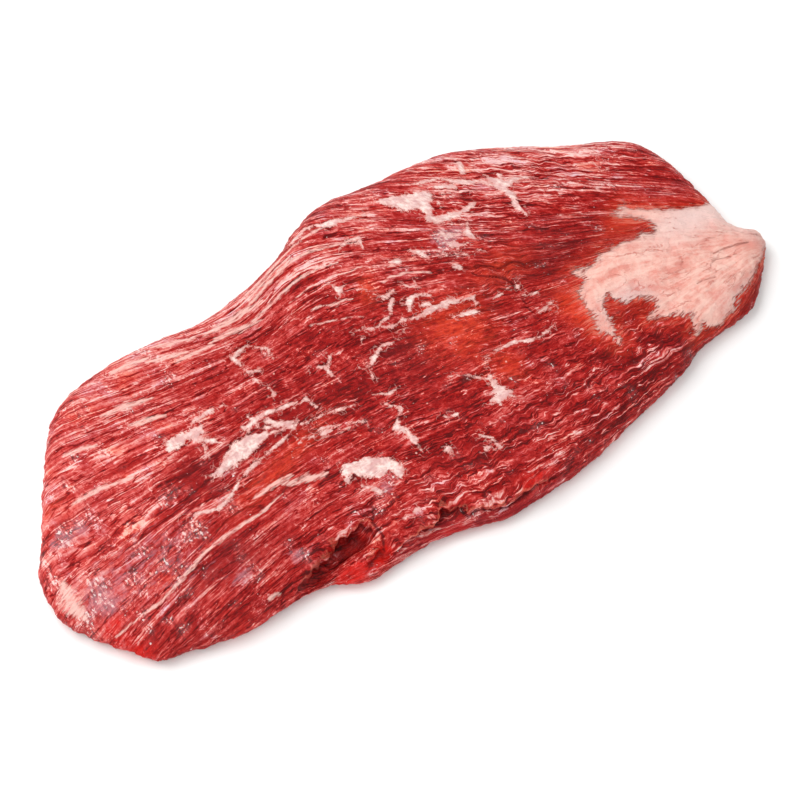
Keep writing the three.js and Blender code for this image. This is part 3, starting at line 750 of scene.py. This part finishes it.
def lean_level(tree, grain, pattern, fields):
    """How pale the lean is at each place: 0 in the painted shade of deep crevices, 1 on threads of fat."""
    lines = pattern["lines"]
    streaky = fields["streaky"]
    threads = fields["threads"]

    # Soft stripes, which change in streaky zones, and torn patches with clear edges
    level = with_part(tree, fields["light"], grain_noise(tree, grain, 20, 20, 3.0), 0.6, -0.35, streaky)
    level = add_node(tree, "Math", {0: fields["dark"], 1: -0.1, 2: level}, operation="MULTIPLY_ADD")
    shares = (("bundles", 0.45, 0.25), ("strands", 0.35, 0.45), ("fibres", 0.2, 0.08), ("clots", 0.65, -0.3))
    for name, share, more in shares:
        part = add_node(tree, "Math", {0: pattern[name], 1: 0.5}, operation="SUBTRACT")
        level = with_part(tree, level, part, share, more, streaky)
    patchy = add_node(tree, "MapRange", {"Value": pattern["torn"], "From Min": 0.47, "From Max": 0.54})
    level = with_part(tree, level, patchy, 0.12, -0.08, streaky)

    # Pale threads of three sizes between the strands, and short pale dashes that are partly painted glints
    broken = ragged(tree, threads, 0.2, grain_noise(tree, lines, 40, 7, 3.0), 0.52, 0.74)
    white = add_node(tree, "MapRange", {"Value": threads, "To Min": 0.8, "To Max": 0.94})
    swell = ragged(tree, threads, 0.12, grain_noise(tree, lines, 16, 5), 0.45, 0.8, 2.8, 0.35)
    for length, width, thickness, share in ((70, 5, 0.03, 1.0), (48, 3, 0.03, 0.6), (20, 2.4, 0.05, 0.3)):
        thickness = add_node(tree, "Math", {0: swell, 1: thickness}, operation="MULTIPLY")
        thread = contour(tree, grain_noise(tree, lines, length, width), 0.51, thickness)
        for amount in (broken, share):
            thread = add_node(tree, "Math", {0: thread, 1: amount}, operation="MULTIPLY")
        level = add_node(tree, "Mix", {0: thread, 2: level, 3: white}, data_type="FLOAT")
    # Short pale dashes: in part fat, in part painted glints
    pale_dash_and_glint = contour(tree, grain_noise(tree, lines, 18, 2.8), 0.52, 0.06)
    gaps = grain_noise(tree, lines, 11, 4)
    gaps = add_node(tree, "Math", {0: threads, 1: 0.1, 2: gaps}, operation="MULTIPLY_ADD")
    gaps = ragged(tree, streaky, -0.12, gaps, 0.58, 0.69, 0.95)
    pale_dash_and_glint = add_node(tree, "Math", {0: pale_dash_and_glint, 1: gaps}, operation="MULTIPLY")
    level = add_node(tree, "Mix", {0: pale_dash_and_glint, 2: level, 3: 0.9}, data_type="FLOAT")

    # Crumbs and squiggles, painted shade in dark crevices, and painted light and shade of fine wrinkles
    # across the grain, in patches
    level = with_part(tree, level, pattern["crumbs"], 0.75, -0.3, streaky)
    squiggle = contour(tree, grain_noise(tree, grain, 6, 4, 3.0), 0.5, 0.025)
    squiggle = add_node(tree, "Math", {0: squiggle, 1: pattern["some"]}, operation="MULTIPLY")
    # Painted light and shade: the wrinkles' ticks lighten and darken the lean
    layers = [(squiggle, 0.28), (pattern["wrinkle"], 2.4)]
    # Painted shade: thin dark lines in the crevices between the strands
    crevices = ((40, 5, 0.022, -0.43), (34, 2.2, 0.035, -0.39), (9, 4, 0.025, -0.17))
    for length, width, thickness, share in crevices:
        crevice = contour(tree, grain_noise(tree, lines, length, width, 3.0), 0.56, thickness)
        layers.append((crevice, share))
    return plus_shares(tree, level, *layers)


def fleck_fat(tree, edge, pattern):
    """The flecks' colour: cream where thick, greyish pink where thin or filmy."""
    lines = pattern["lines"]
    filmy = grain_noise(tree, lines, 5, 5, 4.0, 0.6)
    filmy = add_node(tree, "MapRange", {"Value": filmy, "From Min": 0.4, "From Max": 0.58})
    ends = {"Value": pattern["crumbs"], "From Min": 0.04, "From Max": -0.12, "To Max": 0.6}
    ribbed = add_node(tree, "MapRange", ends)
    thin = add_node(tree, "MapRange", {"Value": edge, "From Min": 1.2, "From Max": 0.2})
    cream = linear("#dfb0ad")
    for mask, shade in ((filmy, "#fee6de"), (ribbed, "#d99c94"), (thin, "#e0a198")):
        cream = add_node(tree, "Mix", {0: mask, 6: cream, 7: linear(shade)}, data_type="RGBA")
    return cream


def fleck_mask(tree, edge, lines):
    """Where the flecks cover the lean, and the web of fine threads round them."""
    shown = add_node(tree, "MapRange", {"Value": edge, "From Min": -0.1, "From Max": 0.35, "To Max": 0.95})
    web = contour(tree, grain_noise(tree, lines, 6, 6), 0.5, 0.02)
    near = add_node(tree, "MapRange", {"Value": edge, "From Min": -2.8, "From Max": -1.4, "To Max": 0.6})
    web = add_node(tree, "Math", {0: web, 1: near}, operation="MULTIPLY")
    return add_node(tree, "Math", {0: shown, 1: web}, operation="MAXIMUM")


def fat_speck_and_glint_mask(tree, grain):
    """Small white specks in a few of the pattern's cells: grains of fat, and in part painted glints."""
    speck = add_node(tree, "TexVoronoi", {"Vector": grain, "Scale": 1 / 5})
    pick = add_node(tree, "SeparateColor", {0: speck.outputs["Color"]})
    pick = add_node(tree, "Math", {0: pick, 1: 0.94}, operation="GREATER_THAN")
    speck = add_node(tree, "MapRange", {"Value": speck, "From Min": 0.12, "From Max": 0.06})
    return add_node(tree, "Math", {0: speck, 1: pick}, operation="MULTIPLY")


def pad_edge(tree, place, pattern, fields):
    """How deep a place lies inside the pad's torn edge, in millimetres."""
    lobe = add_node(tree, "TexNoise", {"Vector": place, "Scale": 1 / 5, "Detail": 5.0, "Roughness": 0.65})
    lobe = add_node(tree, "Math", {0: lobe, 1: 0.5}, operation="SUBTRACT")
    return plus_shares(tree, fields["pad"], (pattern["frayed"], 13.0), (lobe, 8.0))


def pad_fat(tree, place, edge, pattern, fields):
    """The pad's colour and bumps: cream pink with stripes, pink veins and painted shade in its slits, and a
    greyer smooth part.
    """
    fan = fan_out(tree, place)
    stripes = grain_noise(tree, fan, 28, 2.4, 4.0, 0.62)
    blush = add_node(tree, "TexNoise", {"Vector": place, "Scale": 1 / 7, "Detail": 6.0, "Roughness": 0.68})
    both = ragged(tree, stripes, 0.8, blush, 0.74, 1.02)
    # Painted shade: the pad's slits are darker red
    slit = ragged(tree, pattern["frayed"], 2.0, fields["slits"], -0.3, 0.4, 0.6)
    muscle = add_node(tree, "Math", {0: fields["orange"], 1: 0.7}, operation="MULTIPLY")
    watery = add_node(tree, "Math", {0: fields["dark"], 1: 0.7}, operation="MULTIPLY")
    vein = contour(tree, grain_noise(tree, fan, 22, 6, 4.0, 0.6), 0.5, 0.02)
    for amount in (pattern["some"], 0.8):
        vein = add_node(tree, "Math", {0: vein, 1: amount}, operation="MULTIPLY")
    margin = add_node(tree, "MapRange", {"Value": edge, "From Min": 3.0, "From Max": 0.4, "To Max": 0.6})

    cream = linear("#e39486")
    for mask, shade in (
        (both, "#f3c3b5"),
        (fields["smooth"], "#e9c6bf"),
        (muscle, "#e48f80"),
        (watery, "#c7b1b2"),
        (slit, "#c46a60"),
        (vein, "#d97f73"),
        (margin, "#dfb3ab"),
    ):
        cream = add_node(tree, "Mix", {0: mask, 6: cream, 7: linear(shade)}, data_type="RGBA")
    return cream, plus_shares(tree, stripes, (blush, 2.4), (vein, -0.4), (slit, -1.0))


def raw_beef():
    """Raw marbled beef: wet translucent muscle in bundles, and the opaque fat pad over its tip."""
    material = bpy.data.materials.new("raw marbled beef, wet cut face")
    material.use_nodes = True
    tree = material.node_tree
    tree.nodes.clear()
    grain = stored(tree, "grain")
    fields = read_fields(tree)
    orange = fields["orange"]
    pattern = meat_pattern(tree, grain, fields["wavy"])
    add_shared_noises(tree, grain, pattern, fields)
    lines = pattern["lines"]
    torn = pattern["torn"]
    patch = pattern["patch"]
    lean = add_node(tree, "ValToRGB", {0: lean_level(tree, grain, pattern, fields)})
    ramp = lean.color_ramp.elements
    ramp.remove(ramp[1])
    ramp[0].color = linear(LEAN_SHADES[0][1])
    for level, shade in LEAN_SHADES[1:]:
        ramp.new(level).color = linear(shade)

    # Warmer and cooler patches of the lean, and its orange and dark zones
    hue = grain_noise(tree, lines, 13, 13, 4.0, 0.6)
    warm = ragged(tree, orange, 0.2, hue, 0.54, 0.74)
    cool = add_node(tree, "MapRange", {"Value": hue, "From Min": 0.46, "From Max": 0.34})
    ends = {"Value": torn, "From Min": 0.4, "From Max": 0.56, "To Min": 0.2, "To Max": 0.85}
    hot = add_node(tree, "MapRange", ends)
    hot = add_node(tree, "Math", {0: orange, 1: hot}, operation="MULTIPLY")
    darker = add_node(tree, "Math", {0: fields["dark"], 1: 0.3}, operation="MULTIPLY")

    # The folded edge: bright red parts, the smooth lower layer, the lips' rims with a painted highlight, and
    # painted shade where it is deep
    vivid = ragged(tree, fields["vivid"], 0.3, torn, 0.58, 0.8, 0.75)
    vivid = add_node(tree, "Math", {0: vivid, 1: fields["vivid"]}, operation="MULTIPLY")
    under = add_node(tree, "Math", {0: fields["below"], 1: 0.3}, operation="MULTIPLY")
    lip, groove = lip_profile(tree, grain, fields)
    # Each lip's rim is paler: in part its own pale edge, in part a painted highlight
    rim = ragged(tree, lip, 2.0, torn, 2.35, 2.65, 0.45)
    # Painted shade: the pocket, where the meat is darker too, the crease, the groove under each lip and the
    # slits
    deep = ragged(tree, torn, 1.6, fields["hollow"], 1.15, 1.7)
    slit = ragged(tree, torn, 1.6, fields["slits"], 0.35, 0.8, 0.95)
    for other in (groove, slit):
        deep = add_node(tree, "Math", {0: deep, 1: other}, operation="MAXIMUM")

    # Thin bluish film, pale streaks, painted glints of wet light, and flecks of fat
    misty = ragged(tree, fields["misty"], 0.3, torn, 0.66, 0.84, 0.4)
    pale = ragged(tree, pattern["frayed"], 4.5, fields["pale"], -0.3, 0.8, 0.85)
    painted_glint = ragged(tree, patch, 0.15, grain_noise(tree, grain, 1.5, 1.5), 0.72, 0.78, 0.8)
    fleck = fleck_edge(tree, lines, fields)

    # The pad, with a red halo round it and comb-like fibres at its edge
    place = add_node(tree, "TexCoord").outputs["Object"]
    place = add_node(tree, "VectorMath", {0: place, "Scale": 1 / MM}, operation="SCALE")
    edge = pad_edge(tree, place, pattern, fields)
    cream, bumps = pad_fat(tree, place, edge, pattern, fields)
    pad = add_node(tree, "MapRange", {"Value": edge, "From Min": -0.8, "From Max": 0.8})
    ends = {"Value": fields["pad"], "From Min": -10.0, "From Max": -1.0, "To Max": 0.7}
    halo = add_node(tree, "MapRange", ends)
    keen = ragged(tree, orange, 0.6, torn, 0.4, 0.62, 1.0, 0.35)
    halo = add_node(tree, "Math", {0: halo, 1: keen}, operation="MULTIPLY")
    comb = ragged(tree, halo, 0.45, grain_noise(tree, lines, 14, 1.5, 3.0, 0.6), 0.7, 0.86, 0.5)

    # The layers of colour, from the lean upwards
    colour = lean
    for mask, shade, blend in (
        (warm, (1.08, 0.84, 0.66, 1), "MULTIPLY"),
        (cool, (0.9, 0.92, 1.08, 1), "MULTIPLY"),
        (hot, linear("#db4227"), "MIX"),
        (darker, linear("#701619"), "MIX"),
        (vivid, linear("#d8190f"), "MIX"),
        (under, linear("#a3323a"), "MIX"),
        # the lips' rims: pale edge and painted highlight
        (rim, linear("#f88d72"), "MIX"),
        # painted shade where the edge is deep: its pocket, crease, grooves and slits
        (deep, (0.4, 0.26, 0.34, 1), "MULTIPLY"),
        (misty, linear("#b98793"), "MIX"),
        (pale, linear("#f4c3b8"), "MIX"),
        # white specks: grains of fat, in part painted glints
        (fat_speck_and_glint_mask(tree, grain), linear("#e3a99e"), "MIX"),
        # painted glints: near-white specks in the wet patches
        (painted_glint, linear("#f3dcd8"), "MIX"),
        (fleck_mask(tree, fleck, lines), fleck_fat(tree, fleck, pattern), "MIX"),
        (halo, linear("#dd3820"), "MIX"),
        (comb, linear("#f0947e"), "MIX"),
        (pad, cream, "MIX"),
    ):
        colour = add_node(tree, "Mix", {0: mask, 6: colour, 7: shade}, data_type="RGBA", blend_type=blend)

    # Fibres in the flesh, and a wet skin over them that breaks the light into glints
    fine = plus_shares(tree, pattern["fibres"], (pattern["wrinkle"], 1.5), (pattern["clots"], 1.0))
    fine = add_node(tree, "Mix", {0: pad, 2: fine, 3: bumps}, data_type="FLOAT")
    bump = add_node(tree, "Bump", {"Height": fine, "Strength": 1.0, "Distance": 0.9 * MM})
    gloss = add_node(tree, "MapRange", {"Value": patch, "To Min": 0.12, "To Max": 1.0})
    surface = add_node(tree, "BsdfPrincipled", {
        "Base Color": colour,
        "Roughness": 0.5,
        "IOR": 1.36,
        "Specular IOR Level": 0.12,
        "Subsurface Weight": 0.05,
        "Subsurface Radius": (1.0, 0.35, 0.25),
        "Subsurface Scale": 1.2 * MM,
        "Coat Weight": gloss,
        "Coat Roughness": 0.08,
        "Coat Normal": bump,
        "Normal": bump,
    })
    add_node(tree, "OutputMaterial", {"Surface": surface})
    return material


# Camera, floor and light

def look_from(azimuth, elevation):
    """The direction from the object to a camera or lamp. Azimuth 0 looks along +Y."""
    turn, rise = math.radians(azimuth), math.radians(elevation)
    return Vector((math.sin(turn) * math.cos(rise), -math.cos(turn) * math.cos(rise), math.sin(rise)))


def aimed(data, name, target, direction, distance):
    """A camera or lamp that looks at the target."""
    thing = add_object(name, data)
    thing.location = target + direction * distance
    thing.rotation_euler = (-direction).to_track_quat("-Z", "Y").to_euler()
    return thing


def add_camera():
    data = bpy.data.cameras.new("camera")
    data.sensor_width = 36.0
    data.lens = 110.0
    data.clip_start = 0.05
    data.clip_end = 20.0
    middle = Vector((-6, -19, 10)) * MM
    bpy.context.scene.camera = aimed(data, "camera", middle, look_from(-35, 58), 1.17)


def add_floor():
    """A matt white board, pale enough that only the meat's own shadow shows on it."""
    corners = [(x, y, 0) for x, y in ((-3, -3), (3, -3), (3, 3), (-3, 3))]
    mesh = bpy.data.meshes.new("floor")
    mesh.from_pydata(corners, [], [range(4)])
    floor = add_object("floor", mesh)
    material = bpy.data.materials.new("matt white board")
    material.use_nodes = True
    surface = material.node_tree.nodes["Principled BSDF"].inputs
    surface["Base Color"].default_value = linear("#fcfcfb")
    surface["Roughness"].default_value = 0.9
    surface["Specular IOR Level"].default_value = 0.1
    mesh.materials.append(material)


def add_lights():
    """Three soft lamps, and a pale sky that is dimmer straight above."""
    for name, azimuth, elevation, distance, size, power in (
        ("key softbox", 215, 58, 1.4, 1.2, 15),
        ("fill softbox", -60, 50, 1.6, 1.2, 7),
        ("side softbox", 70, 40, 1.6, 1.0, 5),
    ):
        data = bpy.data.lights.new(name, "AREA")
        data.shape = "SQUARE"
        data.size = size
        data.energy = power
        aimed(data, name, Vector(), look_from(azimuth, elevation), distance)

    world = bpy.data.worlds.new("pale studio")
    world.use_nodes = True
    tree = world.node_tree
    tree.nodes.clear()
    way = add_node(tree, "TexCoord").outputs["Generated"]
    rise = add_node(tree, "SeparateXYZ", {0: way}).outputs[2]
    ends = {"Value": rise, "From Min": 0.25, "From Max": 0.75, "To Min": 1.0, "To Max": 0.3}
    light = add_node(tree, "MapRange", ends)
    light = add_node(tree, "Background", {"Color": (1, 1, 1, 1), "Strength": light})
    add_node(tree, "OutputWorld", {"Surface": light})
    bpy.context.scene.world = world
    bpy.context.scene.view_settings.view_transform = "Standard"


def add_steak():
    """The meat itself, in the form of its solid."""
    steak, rim = steak_blank()
    mark_meat(steak, rim)
    grown(steak, relief_tree(), {**RELIEF, "Finish": raw_beef()})
    steak.data.shade_smooth()
    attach(steak, "root")
    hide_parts("flank_steak")


add_camera()
add_floor()
add_lights()
add_steak()
